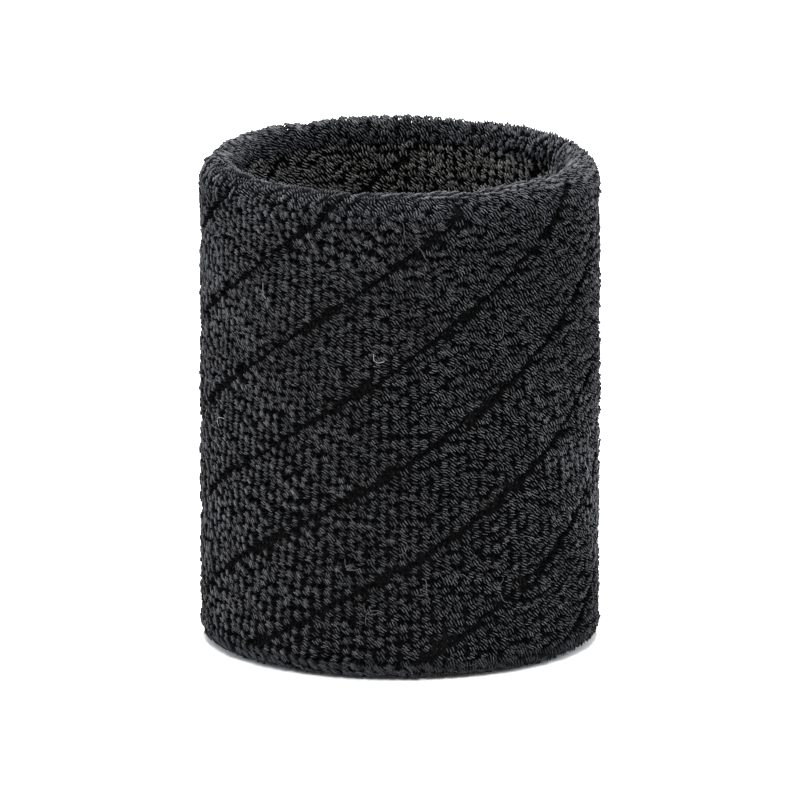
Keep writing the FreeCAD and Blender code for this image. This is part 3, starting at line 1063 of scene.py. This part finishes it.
def section_line(depth):
    """The cross-section of one face of the folded knit, from raw end to raw end."""
    inner, outer = INNER_KNIT + depth, OUTER_KNIT - depth
    half = (outer - inner) / 2
    points = [(inner, z) for z in np.linspace(SEAM_HEIGHT - SEAM_SLIT / 2, WALL_BOTTOM, WALL_STEPS // 2)]
    for turn in np.linspace(math.pi, 0, FOLD_STEPS)[1:]:
        drop = BOTTOM_KNIT_RISE - depth
        points.append((KNIT_MIDDLE + half * math.cos(turn), WALL_BOTTOM - drop * math.sin(turn)))
    points += [(outer, z) for z in np.linspace(WALL_BOTTOM, WALL_TOP, WALL_STEPS)[1:]]
    for turn in np.linspace(0, math.pi, FOLD_STEPS)[1:]:
        climb = TOP_KNIT_RISE - depth
        points.append((KNIT_MIDDLE + half * math.cos(turn), WALL_TOP + climb * math.sin(turn)))
    points += [(inner, z) for z in np.linspace(WALL_TOP, SEAM_HEIGHT + SEAM_SLIT / 2, WALL_STEPS // 2)[1:]]
    return points


def knit_material(cotton):
    """The ground knit: black cotton made nearly black as painted shade, down under the pile and in the
    channels; its wales and courses are relief.
    """
    material = yarn_material("ground knit", cotton, KNIT_ROOT, KNIT_TIP, rise=1.0)
    tree = material.node_tree
    group = next(node for node in tree.nodes if node.type == "GROUP")
    cloth = add(tree, "ShaderNodeUVMap", uv_map="knit")
    wale, course = add(tree, "ShaderNodeSeparateXYZ", {0: cloth.outputs[0]}).outputs[:2]
    from_middle = sums(tree, "ABSOLUTE", sums(tree, "SUBTRACT", sums(tree, "FRACT", wale), 0.5))
    slant = sums(tree, "SUBTRACT", course, sums(tree, "MULTIPLY", from_middle, KNIT_SLANT))
    legs = sums(tree, "SINE", sums(tree, "MULTIPLY", slant, 2 * math.pi))
    tree.links.new(sums(tree, "MULTIPLY", legs, KNIT_RELIEF), group.inputs["Relief"])
    return material


def add_ground_knit(cotton):
    """The knitted tube, folded double, as one closed cloth with its raw ends apart."""
    section = section_line(0) + section_line(KNIT_THICKNESS)[::-1]
    count = len(section)
    steps = [math.dist(section[j], section[(j + 1) % count]) for j in range(count)]
    run = [sum(steps[:j]) / COURSE for j in range(count + 1)]
    vertices, faces, places = [], [], []
    for i in range(AROUND):
        angle = 2 * math.pi * i / AROUND
        for radius, height in section:
            vertices.append((radius * math.sin(angle), -radius * math.cos(angle), height))
    for i in range(AROUND):
        here, there = i * count, (i + 1) % AROUND * count
        left, right = i * WALES / AROUND, (i + 1) * WALES / AROUND
        for j in range(count):
            k = (j + 1) % count
            faces.append((here + j, there + j, there + k, here + k))
            places += [(left, run[j]), (right, run[j]), (right, run[j + 1]), (left, run[j + 1])]
    mesh = bpy.data.meshes.new("ground_knit_cloth")
    mesh.from_pydata(vertices, [], faces)
    mesh.polygons.foreach_set("use_smooth", [True] * len(faces))
    layout = mesh.uv_layers.new(name="knit")
    layout.data.foreach_set("uv", np.array(places, np.float32).ravel())
    mesh.materials.append(knit_material(cotton))
    cloth = placed("ground_knit_cloth", mesh)
    settle(cloth, "ground_knit", "ground_knit")


def main():
    """Sets the studio up and makes the band, piece by piece."""
    add_camera()
    add_studio()
    cotton = build_spun_cotton()
    every_seat = seats(all_rows(), SEAT_SEED)
    add_pile(every_seat, cotton)
    stitches = add_bare_stitches(every_seat, cotton)
    add_ground_knit(cotton)
    add_closing_seam(cotton)
    add_elastic_yarns(cotton)
    add_stray_fibres(every_seat, cotton)


main()
